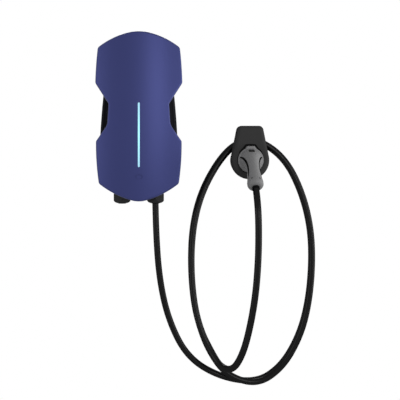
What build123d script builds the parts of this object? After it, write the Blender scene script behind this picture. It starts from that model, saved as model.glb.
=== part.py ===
"""Wall-mounted car charging unit with its tethered lead, plug and wall holster.

Millimetres. X to the right, Z up, Y into the wall; the wall is the plane y = 0 and the unit stands in y < 0.
The origin is the middle of the four wall fixing holes. Depths are measured from the wall towards the room.
"""
import os
from math import cos, pi, radians, sin, tan

from build123d import *

os.makedirs("parts", exist_ok=True)

# Front cover: outline corners as (half width, height), seen from the room
brow_x = 24.0
brow_z = 162.3
top_corner_x = 81.5
top_corner_z = 135.1
flank_x = 86.3
flank_z = 64.5
waist_top_x = 59.5
waist_top_z = 23.0
waist_bottom_x = 62.2
waist_bottom_z = -19.0
shoulder_x = 84.9
shoulder_z = -51.0
bottom_corner_x = 79.3
bottom_corner_z = -135.0
chin_x = 14.0
chin_z = -168.0
brow_bulge = 3.05
flank_bulge = 0.8
side_bulge = 1.7
chin_bulge = 3.6
top_corner_radius = 9.0
flank_radius = 8.0
waist_top_radius = 6.0
waist_bottom_radius = 22.0
shoulder_radius = 7.0
bottom_corner_radius = 9.0

# Front cover: depth, crown and wall
cover_crown_rise = 47.7
cover_rim_gap = 0.3
crown_radius = 200.0
crown_length_radius = 1500.0
cover_wall = 2.8
cover_edge_radius = 4.0
cover_form_margin = 30.0

# Oval ring groove under the light bar
mark_z = -121.5
mark_width = 15.0
mark_height = 10.0
mark_line = 1.8
mark_sink = 1.1

# Light bar
bar_width = 3.8
bar_length = 126.5
bar_z = -39.0
bar_gap = 0.15
bar_flange_width = 12.0
bar_flange_length = 136.0
bar_set_back = 12.0
carrier_width = 14.0
carrier_length = 154.0
carrier_thickness = 8.0
light_board_width = 9.0
light_board_length = 133.0
light_board_thickness = 1.6
board_pocket_gap = 0.2
led_count = 12
led_end_margin = 8.2
led_size = 3.0
led_height = 1.2
carrier_screw_offset = 72.2
carrier_boss_radius = 3.5
carrier_screw_radius = 1.4
carrier_screw_head_radius = 2.8
carrier_screw_head = 2.0
carrier_screw_length = 12.0

# Rear housing
ledge_set_back = 6.0
housing_draft = 5.0
housing_top = 148.0
housing_top_corner_x = 64.5
housing_top_corner_z = 122.0
housing_side_x = 77.9
housing_low_x = 82.0
housing_low_z = -80.0
housing_chin_x = 76.5
housing_chin_z = -114.0
housing_floor_x = 52.0
housing_floor_z = -143.0
housing_corner_radius = 12.0
housing_wall = 3.0
housing_ledge = 3.0
back_recess = 8.0
back_wall = 3.0
back_rim = 5.0
ledge_depth = 56.0
housing_edge_radius = 2.0

# Gland plate moulded under the housing
gland_plate_z = -150.0
gland_plate_height = 16.0
gland_plate_wall = 6.0
gland_plate_side = 4.0
locknut_room = 0.5

# Inner lid, its seal and screws
lid_thickness = 3.5
lid_gap = 0.4
seal_thickness = 2.0
seal_width = 2.4
lid_screws_high = (44.0, 106.0)
lid_screws_mid = (50.0, 8.0)
lid_screws_low = (52.0, -92.0)
lid_boss_radius = 4.5
lid_screw_radius = 1.8
lid_screw_head_radius = 3.6
lid_screw_head = 2.2
lid_screw_length = 14.0

# Ball studs that carry the front cover
studs_high = (28.0, 98.0)
studs_low = (34.0, -88.0)
stud_boss_radius = 6.0
stud_boss_length = 9.0
stud_shank_radius = 2.5
stud_flange_radius = 5.0
stud_flange = 2.0
ball_radius = 4.0
ball_reach = 12.5
post_radius = 7.0
post_overlap = 5.5

# Round and flat fits between pieces
round_gap = 0.1
slip_gap = 0.2
cut_margin = 1.0

# Wall plate
plate_width = 100.0
plate_height = 184.0
plate_thickness = 2.5
plate_corner_radius = 8.0
wall_hole_spacing_x = 72.0
wall_hole_spacing_z = 140.0
wall_hole_radius = 3.25
hook_x = 24.0
hook_width = 22.0
hook_z = 60.0
hook_rise = 12.0
hook_gap = 0.3
hook_slot_drop = 14.0

# Screws that lock the housing to the wall plate
lock_x = 24.0
lock_z = -80.0
lock_boss_radius = 6.0
lock_screw_radius = 2.0
lock_head_radius = 4.2
lock_head = 3.0

# Main board and what stands on it
board_width = 84.0
board_height = 168.0
board_z = 16.0
board_thickness = 1.6
standoff_height = 8.0
standoff_radius = 4.0
standoff_x = 36.0
standoff_inset = 7.0
board_screw_radius = 1.4
board_screw_head_radius = 3.0
board_screw_head = 2.2
board_screw_length = 7.0
terminal_share = -0.335
terminal_height = 24.0
terminal_room = 0.59
supply_terminal_x = -24.0
supply_terminal_width = 34.0
lead_terminal_x = 19.0
lead_terminal_width = 44.0
terminal_pitch = 10.5
wire_hole_radius = 2.6
wire_hole_length = 12.0
wire_hole_rise = 9.0
well_radius = 2.6
well_length = 6.0
terminal_screw_radius = 2.4
terminal_screw_height = 3.0
relay_x = 20.0
relay_share = -0.135
relay_width = 29.0
relay_length = 30.0
relay_room = 0.64
sensor_share = 0.045
sensor_width = 34.0
sensor_length = 18.0
sensor_room = 0.8
sensor_bore_radius = 9.0
transformer_x = -22.0
transformer_share = 0.235
transformer_width = 28.0
transformer_length = 24.0
transformer_room = 0.48
core_block_width = 14.0
core_block_length = 26.0
core_block_room = 0.59
capacitor_x = (10.0, 28.0)
capacitor_radius = 7.5
capacitor_room = 0.7
radio_x = -14.0
radio_share = 0.41
radio_width = 20.0
radio_length = 16.0
radio_height = 3.0
chip_x = 16.0
chip_width = 14.0
chip_height = 1.6

# Cable glands
gland_x = 34.0
gland_set_back = 28.0
thread_radius = 12.5
gland_hole_gap = 0.15
washer_thickness = 1.5
washer_radius = 16.5
gland_flats = 33.0
gland_flange = 5.5
gland_bore_radius = 9.0
basket_radius = 13.4
basket_length = 9.0
gland_rise = 16.0
locknut_flats = 29.0
locknut_height = 5.0
nut_flats = 34.0
nut_height = 18.5
nut_dome_radius = 12.0
nut_mouth_radius = 8.0
nut_wall = 3.0
seal_length = 12.0
supply_bore_radius = 7.0

# Lead
lead_radius = 6.5
tail_top_z = -118.0
core_radius = 2.2
core_offset = 2.5
core_bend_radius = 6.0
core_fan_z = -108.0
core_gather_drop = 14.0
core_in_terminal = 9.0

# Holster: one moulding on the wall beside the unit
holster_x = 223.0
holster_z = -88.4
face_radius = 38.3
tab_height = 69.0
tab_half_width = 26.8
tab_corner_radius = 9.5
face_skirt = 20.0
face_thickness = 8.0
skirt_wall = 3.0
face_edge_radius = 8.0
tube_radius = 33.0
socket_radius = 25.6
tube_floor = 4.0
seat_depth = 70.0
recess_sink = 5.0
recess_radius = 26.6
key_top = 29.4
key_top_half = 8.0
key_low = 18.5
key_low_half = 15.5
key_shadow_gap = 1.6
shoulder_low = 14.5
shoulder_low_half = 23.8
shoulder_top = 22.6
shoulder_top_half = 16.0
rib_x = 10.0
rib_width = 2.0
rib_bottom = 34.0
holster_hole_spacing = 30.0
holster_hole_radius = 2.75

# Plug: nose and collar on the socket's axis
nose_radius = 25.2
nose_back_depth = 29.0
nose_flat = 19.0
collar_gap = 0.2
collar_thickness = 11.8
collar_edge_radius = 2.5
key_gap = 1.3
contact_row = 14.0
pilot_x = 8.0
pilot_z = 12.0
power_contact_radius = 4.2
power_pin_radius = 3.0
pilot_contact_radius = 2.6
pilot_pin_radius = 1.5
contact_length = 34.0
contact_recess = 3.0

# Plug: handle sections from the collar to the end cap, on a path that bends down
neck_reach = (0.0, 11.0, 24.5, 40.0, 59.6)
neck_drop = (0.0, 2.0, 9.5, 23.0, 42.3)
neck_tilt = (0.0, 12.0, 32.0, 45.0, 46.0)
neck_width = (46.0, 36.5, 27.5, 25.0, 29.5)
neck_height = (47.0, 38.0, 32.0, 30.5, 30.0)
handle_wall = 3.5
split_rise = (5.2, 7.2, 9.0, 11.5, 10.5)
seal_rise = (4.4, 3.6, 3.5, 5.0, 9.5)
seal_set_back = 0.6
split_gap = 0.1
window_rise = 18.2
window_width = 12.0
window_height = 5.0
window_corner_radius = 2.0
window_cut = 30.0
cap_length = 14.0
cap_radius = 15.6
cap_joint_gap = 0.6
cap_round = 8.0
cap_slot_width = 3.4
cap_slot_sink = 2.0
cap_slot_length = 3.6
cap_slot_count = 6
grommet_radius = 6.9
grommet_length = 4.0
grommet_inside = 8.0

# Corners of the lead as (x, depth, z): from the gland down and twice over the holster, then up to the plug
drop_run = [(34, 34, -235), (40, 33, -330), (60, 31, -413), (99, 26, -489), (162, 20, -533)]
first_turn = [
    (241, 20, -547.5), (295, 20, -514), (331, 19, -450), (349, 18, -382.5), (356.5, 17.5, -302),
    (354, 17, -226), (336, 17, -152), (302, 17, -85), (250, 17, -47.5), (207, 17, -47.5), (169, 17, -81),
    (129, 20, -150.5), (109, 22, -223.5), (105, 25, -303), (111, 28, -380), (124.5, 32, -434),
    (143, 36, -480), (176, 38, -526),
]
second_turn = [
    (240, 38, -543.5), (292, 37, -510), (328, 36, -447), (346, 35, -380), (353, 34.5, -300), (351, 34, -225),
    (334, 34, -152), (301, 34, -85), (250, 34, -47.5), (207, 34, -47.5), (168, 35, -81), (128, 40, -150),
    (108, 46, -222), (103.5, 54, -300), (109, 63, -375), (122, 71, -428), (141, 80, -466),
]
plug_run = [
    (160, 100, -496), (182, 138, -495), (197, 160, -460), (208, 170, -408), (218, 177, -345),
    (222, 181, -282), (223, 183.5, -224),
]
lead_exit_run = 40.0
bend_share = 0.45


def at_depth(depth, x=0.0, z=0.0):
    """Plane parallel to the wall at a depth, looking towards the room."""
    return Plane(origin=(x, -depth, z), x_dir=(1, 0, 0), z_dir=(0, -1, 0))


def at_height(z, x=0.0, depth=0.0):
    """Level plane at a height, looking up."""
    return Plane(origin=(x, -depth, z), x_dir=(1, 0, 0), z_dir=(0, 0, 1))


def both_sides(spot):
    """The spot and its mirror image about the unit's centre line."""
    return [(-spot[0], spot[1]), spot]


def round_corner(sketch, x, z, radius):
    """Round the corners of the sketch at (x, z) and at (-x, z)."""
    spots = [v for v in sketch.vertices() if abs(abs(v.X) - x) < 0.01 and abs(v.Y - z) < 0.01]
    fillet(spots, radius)


def moved_in(corners, inset):
    """Corners of an outline's right half without its ends, moved so that every side shifts in by inset."""
    moved = []
    for before, corner, after in zip(corners, corners[1:], corners[2:]):
        side_in = Vector(*corner) - Vector(*before)
        side_out = Vector(*after) - Vector(*corner)
        normal_in = Vector(side_in.Y, -side_in.X).normalized()
        normal_out = Vector(side_out.Y, -side_out.X).normalized()
        shift = (normal_in + normal_out) * (inset / (1 + normal_in.dot(normal_out)))
        moved.append((corner[0] + shift.X, corner[1] + shift.Y))
    return moved


def cover_outline(inset):
    """Outline of the front cover, moved in by inset."""
    corners = [
        (-brow_x, brow_z),
        (brow_x, brow_z),
        (top_corner_x, top_corner_z),
        (flank_x, flank_z),
        (waist_top_x, waist_top_z),
        (waist_bottom_x, waist_bottom_z),
        (shoulder_x, shoulder_z),
        (bottom_corner_x, bottom_corner_z),
        (chin_x, chin_z),
        (-chin_x, chin_z),
    ]
    inner = moved_in(corners, inset)
    brow, top_corner, flank, waist_top, waist_bottom, shoulder, bottom_corner, chin = inner
    with BuildSketch() as outline:
        with BuildLine():
            brow_side = SagittaArc(brow, top_corner, brow_bulge)
            SagittaArc(top_corner, flank, flank_bulge)
            Polyline(flank, waist_top, waist_bottom, shoulder)
            SagittaArc(shoulder, bottom_corner, side_bulge)
            chin_side = SagittaArc(bottom_corner, chin, chin_bulge)
            mirror(about=Plane.YZ)
            TangentArc(brow, (-brow[0], brow[1]), tangent=brow_side % 0 * -1)
            TangentArc(chin, (-chin[0], chin[1]), tangent=chin_side % 1)
        make_face()
        round_corner(outline, *top_corner, top_corner_radius - inset)
        round_corner(outline, *flank, flank_radius - inset)
        round_corner(outline, *waist_top, waist_top_radius + inset)
        round_corner(outline, *waist_bottom, waist_bottom_radius + inset)
        round_corner(outline, *shoulder, shoulder_radius - inset)
        round_corner(outline, *bottom_corner, bottom_corner_radius - inset)
    return outline.sketch


def crown_form(inset):
    """Barrel whose surface is the cover's crowned face, moved in by inset."""
    reach = brow_z + cover_form_margin
    axis_y = crown_radius - cover_crown_depth
    belly_y = axis_y + crown_radius - inset
    end_y = belly_y - crown_length_radius + (crown_length_radius**2 - reach**2) ** 0.5
    with BuildPart() as barrel:
        with BuildSketch(Plane.YZ):
            with BuildLine():
                ThreePointArc((end_y, -reach), (belly_y, 0), (end_y, reach))
                Polyline((end_y, reach), (axis_y, reach), (axis_y, -reach), (end_y, -reach))
            make_face()
        revolve(axis=Axis((0, axis_y, 0), (0, 0, 1)))
    return barrel.part


def housing_outline(inset):
    """Outline of the rear housing at the wall, moved in by inset."""
    with BuildSketch() as outline:
        with BuildLine():
            ThreePointArc(
                (housing_top_corner_x, housing_top_corner_z),
                (housing_side_x, 0),
                (housing_low_x, housing_low_z),
            )
            Polyline(
                (housing_low_x, housing_low_z),
                (housing_chin_x, housing_chin_z),
                (housing_floor_x, housing_floor_z),
            )
            mirror(about=Plane.YZ)
            ThreePointArc(
                (-housing_top_corner_x, housing_top_corner_z),
                (0, housing_top),
                (housing_top_corner_x, housing_top_corner_z),
            )
            Line((housing_floor_x, housing_floor_z), (-housing_floor_x, housing_floor_z))
        make_face()
        round_corner(outline, housing_top_corner_x, housing_top_corner_z, housing_corner_radius)
        round_corner(outline, housing_chin_x, housing_chin_z, housing_corner_radius)
        round_corner(outline, housing_floor_x, housing_floor_z, housing_corner_radius)
        if inset > 0:
            offset(amount=-inset)
    return outline.sketch


def housing_form(inset, start, end):
    """Drafted body of the housing between two depths, its sides moved in by inset."""
    with BuildPart() as form:
        with BuildSketch(at_depth(start)):
            add(housing_outline(inset + start * tan(radians(housing_draft))))
        extrude(amount=end - start, taper=housing_draft)
    return form.part


def save(piece, name):
    """Label a finished piece and write it."""
    piece.label = name
    export_step(piece, f"parts/{name}.step")


# Depths that follow from the ledge, from the wall to the crown
housing_depth = ledge_depth + ledge_set_back
gland_depth = housing_depth - gland_set_back
lid_depth = ledge_depth + seal_thickness
lid_front_depth = lid_depth + lid_thickness
ball_depth = lid_front_depth + ball_reach
post_back_depth = ball_depth - post_overlap
cover_rim_depth = housing_depth + cover_rim_gap
cover_crown_depth = cover_rim_depth + cover_crown_rise
bar_back_depth = cover_crown_depth - bar_set_back

# Wall plate: folded sheet with two hooks that the housing drops on to
hook_front = back_recess + back_wall + hook_gap + plate_thickness
with BuildPart() as wall_plate:
    with BuildSketch(at_depth(0)):
        RectangleRounded(plate_width, plate_height, plate_corner_radius)
        with GridLocations(wall_hole_spacing_x, wall_hole_spacing_z, 2, 2):
            Circle(wall_hole_radius, mode=Mode.SUBTRACT)
        with Locations(*both_sides((lock_x, lock_z))):
            Circle(lock_screw_radius + round_gap, mode=Mode.SUBTRACT)
    extrude(amount=plate_thickness)
    with BuildSketch(at_depth(plate_thickness)):
        with Locations(*both_sides((hook_x, hook_z - plate_thickness / 2))):
            Rectangle(hook_width, plate_thickness)
    extrude(amount=hook_front - plate_thickness)
    with BuildSketch(at_depth(hook_front)):
        with Locations(*both_sides((hook_x, hook_z + hook_rise / 2))):
            Rectangle(hook_width, hook_rise)
    extrude(amount=-plate_thickness)
save(wall_plate.part, "wall_plate")

# Rear housing: drafted black tub with the gland plate under it
floor_depth = back_recess + back_wall
board_back_depth = floor_depth + standoff_height
lid_screw_spots = both_sides(lid_screws_high) + both_sides(lid_screws_mid) + both_sides(lid_screws_low)
standoff_low = (standoff_x, board_z - board_height / 2 + standoff_inset)
standoff_high = (standoff_x, board_z + board_height / 2 - standoff_inset)
standoff_spots = both_sides(standoff_low) + both_sides(standoff_high)
locknut_margin = locknut_room + gland_plate_side
gland_plate_half_width = gland_x + locknut_flats / 2 + locknut_margin
gland_plate_span = locknut_flats / cos(radians(30)) + 2 * locknut_margin
with BuildPart() as rear_housing:
    add(housing_form(0, 0, housing_depth))
    front_edges = rear_housing.faces().sort_by(Axis.Y)[0].edges()
    fillet(front_edges, housing_edge_radius)
    with BuildSketch(at_height(gland_plate_z, depth=gland_depth)):
        RectangleRounded(2 * gland_plate_half_width, gland_plate_span, housing_edge_radius)
    extrude(amount=gland_plate_height)
    add(housing_form(back_rim, 0, back_recess), mode=Mode.SUBTRACT)
    add(housing_form(housing_wall + housing_ledge, floor_depth, ledge_depth), mode=Mode.SUBTRACT)
    add(housing_form(housing_wall, ledge_depth, housing_depth + cut_margin), mode=Mode.SUBTRACT)
    with BuildSketch(at_height(gland_plate_z + gland_plate_wall, depth=gland_depth)):
        Rectangle(
            2 * (gland_plate_half_width - gland_plate_side),
            gland_plate_span - 2 * gland_plate_side,
        )
    extrude(amount=gland_plate_height, mode=Mode.SUBTRACT)
    with BuildSketch(at_height(gland_plate_z, depth=gland_depth)):
        with Locations((-gland_x, 0), (gland_x, 0)):
            Circle(thread_radius + gland_hole_gap)
    extrude(amount=gland_plate_height, mode=Mode.SUBTRACT)
    with BuildSketch(at_depth(floor_depth)):
        with Locations(*lid_screw_spots):
            Circle(lid_boss_radius)
    extrude(amount=lid_depth - floor_depth)
    with BuildSketch(at_depth(floor_depth)):
        with Locations(*standoff_spots):
            Circle(standoff_radius)
    extrude(amount=standoff_height)
    with BuildSketch(at_depth(lid_depth)):
        with Locations(*lid_screw_spots):
            Circle(lid_screw_radius + round_gap)
    extrude(amount=-lid_screw_length, mode=Mode.SUBTRACT)
    with BuildSketch(at_depth(board_back_depth)):
        with Locations(*standoff_spots):
            Circle(board_screw_radius + round_gap)
    extrude(amount=-board_screw_length, mode=Mode.SUBTRACT)
    with BuildSketch(at_depth(plate_thickness + round_gap)):
        with Locations(*both_sides((lock_x, lock_z))):
            Circle(lock_boss_radius)
    extrude(amount=back_recess - plate_thickness)
    with BuildSketch(at_depth(0)):
        with Locations(*both_sides((lock_x, lock_z))):
            Circle(lock_screw_radius + round_gap)
        with Locations(*both_sides((hook_x, hook_z + hook_gap - hook_slot_drop / 2))):
            Rectangle(hook_width + 2 * hook_gap, hook_slot_drop)
    extrude(amount=floor_depth, mode=Mode.SUBTRACT)
save(rear_housing.part, "rear_housing")

# Screws that lock the housing to the wall plate, through its back wall
with BuildPart() as housing_screws:
    with BuildSketch(at_depth(round_gap)):
        with Locations(*both_sides((lock_x, lock_z))):
            Circle(lock_screw_radius)
    extrude(amount=floor_depth - round_gap)
    with BuildSketch(at_depth(floor_depth)):
        with Locations(*both_sides((lock_x, lock_z))):
            Circle(lock_head_radius)
    extrude(amount=lock_head)
save(housing_screws.part, "housing_screws")

# Inner lid: closes the tub on its seal and carries the ball studs
stud_spots = both_sides(studs_high) + both_sides(studs_low)
stud_hole_depth = lid_depth - stud_boss_length + lid_thickness
with BuildPart() as inner_lid:
    add(housing_form(housing_wall + lid_gap, lid_depth, lid_front_depth))
    with BuildSketch(at_depth(lid_depth)):
        with Locations(*stud_spots):
            Circle(stud_boss_radius)
    extrude(amount=-stud_boss_length)
    with BuildSketch(at_depth(stud_hole_depth)):
        with Locations(*stud_spots):
            Circle(stud_shank_radius + round_gap)
    extrude(amount=lid_front_depth - stud_hole_depth, mode=Mode.SUBTRACT)
    with BuildSketch(at_depth(lid_depth)):
        with Locations(*lid_screw_spots):
            Circle(lid_screw_radius + slip_gap)
    extrude(amount=lid_thickness, mode=Mode.SUBTRACT)
save(inner_lid.part, "inner_lid")

# Lid seal: flat ring on the tub's ledge, held between ledge and lid
seal_inset = housing_wall + lid_gap + ledge_depth * tan(radians(housing_draft))
with BuildPart() as lid_seal:
    with BuildSketch(at_depth(ledge_depth)):
        add(housing_outline(seal_inset))
        add(housing_outline(seal_inset + seal_width), mode=Mode.SUBTRACT)
    extrude(amount=seal_thickness)
save(lid_seal.part, "lid_seal")

# Lid screws
with BuildPart() as lid_screws:
    with BuildSketch(at_depth(lid_front_depth)):
        with Locations(*lid_screw_spots):
            Circle(lid_screw_head_radius)
    extrude(amount=lid_screw_head)
    with BuildSketch(at_depth(lid_front_depth)):
        with Locations(*lid_screw_spots):
            Circle(lid_screw_radius)
    extrude(amount=-lid_screw_length)
save(lid_screws.part, "lid_screws")

# Ball studs: shank in the lid, flange, neck and ball for the cover's posts
with BuildPart() as cover_studs:
    with BuildSketch(at_depth(stud_hole_depth + round_gap)):
        with Locations(*stud_spots):
            Circle(stud_shank_radius)
    extrude(amount=ball_depth - stud_hole_depth - round_gap)
    with BuildSketch(at_depth(lid_front_depth)):
        with Locations(*stud_spots):
            Circle(stud_flange_radius)
    extrude(amount=stud_flange)
    with Locations(*[(x, -ball_depth, z) for x, z in stud_spots]):
        Sphere(ball_radius)
save(cover_studs.part, "cover_studs")

# Front cover: crowned shell with waist notches, light slot, ring groove, stud posts and carrier bosses
mark_floor_depth = cover_crown_depth - mark_z**2 / (2 * crown_length_radius) - mark_sink
carrier_screw_spots = [(0, bar_z - carrier_screw_offset), (0, bar_z + carrier_screw_offset)]
boss_hole_end = bar_back_depth - carrier_thickness + carrier_screw_length + slip_gap


def cover_hollow():
    """Space inside the cover, around the stud posts and the carrier bosses."""
    with BuildPart() as hollow:
        with BuildSketch(at_depth(cover_rim_depth)):
            add(cover_outline(cover_wall))
        extrude(amount=cover_crown_depth - cover_rim_depth)
        add(crown_form(cover_wall), mode=Mode.INTERSECT)
        with BuildSketch(at_depth(post_back_depth)):
            with Locations(*stud_spots):
                Circle(post_radius)
        extrude(amount=cover_crown_depth - post_back_depth, mode=Mode.SUBTRACT)
        with BuildSketch(at_depth(bar_back_depth)):
            with Locations(*carrier_screw_spots):
                Circle(carrier_boss_radius)
        extrude(amount=cover_crown_depth - bar_back_depth, mode=Mode.SUBTRACT)
    return hollow.part


with BuildPart() as front_cover:
    with BuildSketch(at_depth(cover_rim_depth)):
        add(cover_outline(0))
    extrude(amount=cover_crown_depth - cover_rim_depth)
    add(crown_form(0), mode=Mode.INTERSECT)
    fillet(front_cover.faces().sort_by(Axis.Y)[0].edges(), cover_edge_radius)
    add(cover_hollow(), mode=Mode.SUBTRACT)
    with Locations(*[(x, -ball_depth, z) for x, z in stud_spots]):
        Sphere(ball_radius + round_gap, mode=Mode.SUBTRACT)
    with BuildSketch(at_depth(post_back_depth)):
        with Locations(*stud_spots):
            Circle(ball_radius - slip_gap)
    extrude(amount=ball_depth - post_back_depth, mode=Mode.SUBTRACT)
    with BuildSketch(at_depth(bar_back_depth)):
        with Locations(*carrier_screw_spots):
            Circle(carrier_screw_radius + round_gap)
    extrude(amount=boss_hole_end - bar_back_depth, mode=Mode.SUBTRACT)
    with BuildSketch(at_depth(bar_back_depth, z=bar_z)):
        SlotOverall(bar_length, bar_width, rotation=90)
    extrude(amount=cover_crown_depth - bar_back_depth, mode=Mode.SUBTRACT)
    with BuildSketch(at_depth(mark_floor_depth, z=mark_z)):
        Ellipse(mark_width / 2, mark_height / 2)
        Ellipse(mark_width / 2 - mark_line, mark_height / 2 - mark_line, mode=Mode.SUBTRACT)
    extrude(amount=cover_crown_depth - mark_floor_depth, mode=Mode.SUBTRACT)
save(front_cover.part, "front_cover")

# Light bar: clear diffuser, flush with the crown, its flange behind the cover's wall
def bar_form(length, width, inset):
    """Round-ended bar from the diffuser's back to the crown moved in by inset."""
    with BuildPart() as form:
        with BuildSketch(at_depth(bar_back_depth, z=bar_z)):
            SlotOverall(length, width, rotation=90)
        extrude(amount=cover_crown_depth - bar_back_depth)
        add(crown_form(inset), mode=Mode.INTERSECT)
    return form.part


with BuildPart() as light_bar:
    add(bar_form(bar_length - 2 * bar_gap, bar_width - 2 * bar_gap, 0))
    add(bar_form(bar_flange_length, bar_flange_width, cover_wall + bar_gap))
save(light_bar.part, "light_bar")

# Light carrier: trough behind the diffuser that holds the light board
carrier_back_depth = bar_back_depth - carrier_thickness
light_board_back = carrier_back_depth + carrier_screw_head
led_pitch = (light_board_length - 2 * led_end_margin) / (led_count - 1)
with BuildPart() as light_carrier:
    with BuildSketch(at_depth(carrier_back_depth, z=bar_z)):
        RectangleRounded(carrier_width, carrier_length, carrier_boss_radius)
        with Locations((0, -carrier_screw_offset), (0, carrier_screw_offset)):
            Circle(carrier_screw_radius + round_gap, mode=Mode.SUBTRACT)
    extrude(amount=carrier_thickness)
    with BuildSketch(at_depth(light_board_back, z=bar_z)):
        Rectangle(light_board_width + 2 * board_pocket_gap, light_board_length + 2 * board_pocket_gap)
    extrude(amount=carrier_thickness, mode=Mode.SUBTRACT)
save(light_carrier.part, "light_carrier")

with BuildPart() as light_board:
    with BuildSketch(at_depth(light_board_back, z=bar_z)):
        Rectangle(light_board_width, light_board_length)
    extrude(amount=light_board_thickness)
save(light_board.part, "light_board")

with BuildPart() as light_leds:
    with BuildSketch(at_depth(light_board_back + light_board_thickness, z=bar_z)):
        with GridLocations(led_pitch, led_pitch, 1, led_count):
            Rectangle(led_size, led_size)
    extrude(amount=led_height)
save(light_leds.part, "light_leds")

with BuildPart() as carrier_screws:
    with BuildSketch(at_depth(carrier_back_depth)):
        with Locations(*carrier_screw_spots):
            Circle(carrier_screw_head_radius)
    extrude(amount=-carrier_screw_head)
    with BuildSketch(at_depth(carrier_back_depth)):
        with Locations(*carrier_screw_spots):
            Circle(carrier_screw_radius)
    extrude(amount=carrier_screw_length)
save(carrier_screws.part, "carrier_screws")

# Main board on its standoffs
board_front_depth = board_back_depth + board_thickness
board_room = lid_depth - board_front_depth
with BuildPart() as main_board:
    with BuildSketch(at_depth(board_back_depth)):
        with Locations((0, board_z)):
            Rectangle(board_width, board_height)
        with Locations(*standoff_spots):
            Circle(board_screw_radius + slip_gap, mode=Mode.SUBTRACT)
    extrude(amount=board_thickness)
save(main_board.part, "main_board")

with BuildPart() as board_screws:
    with BuildSketch(at_depth(board_front_depth)):
        with Locations(*standoff_spots):
            Circle(board_screw_head_radius)
    extrude(amount=board_screw_head)
    with BuildSketch(at_depth(board_front_depth)):
        with Locations(*standoff_spots):
            Circle(board_screw_radius)
    extrude(amount=-board_screw_length)
save(board_screws.part, "board_screws")

# Power relays, residual-current sensor, power supply and control parts on the board
relay_z = board_z + relay_share * board_height
sensor_z = board_z + sensor_share * board_height
supply_z = board_z + transformer_share * board_height
radio_z = board_z + radio_share * board_height
sensor_height = sensor_room * board_room
with BuildPart() as power_relays:
    with BuildSketch(at_depth(board_front_depth)):
        with Locations((-relay_x, relay_z), (relay_x, relay_z)):
            Rectangle(relay_width, relay_length)
    extrude(amount=relay_room * board_room)
save(power_relays.part, "power_relays")

with BuildPart() as residual_current_sensor:
    with BuildSketch(at_depth(board_front_depth)):
        with Locations((0, sensor_z)):
            Rectangle(sensor_width, sensor_length)
    extrude(amount=sensor_height)
    with BuildSketch(at_height(sensor_z - sensor_length, depth=board_front_depth + sensor_height / 2)):
        Circle(sensor_bore_radius)
    extrude(amount=2 * sensor_length, mode=Mode.SUBTRACT)
save(residual_current_sensor.part, "residual_current_sensor")

with BuildPart() as supply_transformer:
    with BuildSketch(at_depth(board_front_depth)):
        with Locations((transformer_x, supply_z)):
            Rectangle(transformer_width, transformer_length)
    extrude(amount=transformer_room * board_room)
    with BuildSketch(at_depth(board_front_depth)):
        with Locations((transformer_x, supply_z)):
            Rectangle(core_block_width, core_block_length)
    extrude(amount=core_block_room * board_room)
save(supply_transformer.part, "supply_transformer")

with BuildPart() as bulk_capacitors:
    with BuildSketch(at_depth(board_front_depth)):
        with Locations(*[(x, supply_z) for x in capacitor_x]):
            Circle(capacitor_radius)
    extrude(amount=capacitor_room * board_room)
save(bulk_capacitors.part, "bulk_capacitors")

with BuildPart() as radio_module:
    with BuildSketch(at_depth(board_front_depth)):
        with Locations((radio_x, radio_z)):
            Rectangle(radio_width, radio_length)
    extrude(amount=radio_height)
save(radio_module.part, "radio_module")

with BuildPart() as control_chip:
    with BuildSketch(at_depth(board_front_depth)):
        with Locations((chip_x, radio_z)):
            Rectangle(chip_width, chip_width)
    extrude(amount=chip_height)
save(control_chip.part, "control_chip")

# Terminal blocks for the supply wires and for the lead's cores
terminal_z = board_z + terminal_share * board_height
terminal_depth = terminal_room * board_room
terminal_low_z = terminal_z - terminal_height / 2
wire_depth = board_front_depth + wire_hole_rise
terminal_front_depth = board_front_depth + terminal_depth
supply_poles = [supply_terminal_x + terminal_pitch * k for k in (-1, 0, 1)]
lead_poles = [lead_terminal_x + terminal_pitch * k for k in (-1.5, -0.5, 0.5, 1.5)]
blocks = (
    ("supply_terminals", supply_terminal_x, supply_terminal_width, supply_poles),
    ("lead_terminals", lead_terminal_x, lead_terminal_width, lead_poles),
)
for block_name, block_x, block_width, poles in blocks:
    with BuildPart() as terminal_block:
        with BuildSketch(at_depth(board_front_depth)):
            with Locations((block_x, terminal_z)):
                Rectangle(block_width, terminal_height)
        extrude(amount=terminal_depth)
        with BuildSketch(at_height(terminal_low_z, depth=wire_depth)):
            with Locations(*[(x, 0) for x in poles]):
                Circle(wire_hole_radius)
        extrude(amount=wire_hole_length, mode=Mode.SUBTRACT)
        with BuildSketch(at_depth(terminal_front_depth)):
            with Locations(*[(x, terminal_z) for x in poles]):
                Circle(well_radius)
        extrude(amount=-well_length, mode=Mode.SUBTRACT)
    save(terminal_block.part, block_name)

with BuildPart() as terminal_screws:
    with BuildSketch(at_depth(terminal_front_depth - well_length)):
        with Locations(*[(x, terminal_z) for x in supply_poles + lead_poles]):
            Circle(terminal_screw_radius)
    extrude(amount=terminal_screw_height)
save(terminal_screws.part, "terminal_screws")

# Cable glands: threaded body, rubber seal and domed hexagon nut; the lead runs through the right one
flange_top_z = gland_plate_z - washer_thickness
flange_low_z = flange_top_z - gland_flange
nut_low_z = flange_low_z - slip_gap - nut_height
basket_low_z = flange_low_z - basket_length
seal_low_z = flange_low_z - seal_length


def nut_dome(x):
    """Round body with a domed lower end that rounds off the hexagon of a gland nut."""
    with BuildPart() as dome:
        with BuildSketch(at_height(nut_low_z, x, gland_depth)):
            Circle(nut_flats / 2 / cos(radians(30)))
        extrude(amount=nut_height)
        fillet(dome.faces().sort_by(Axis.Z)[0].edges(), nut_dome_radius)
    return dome.part


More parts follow.
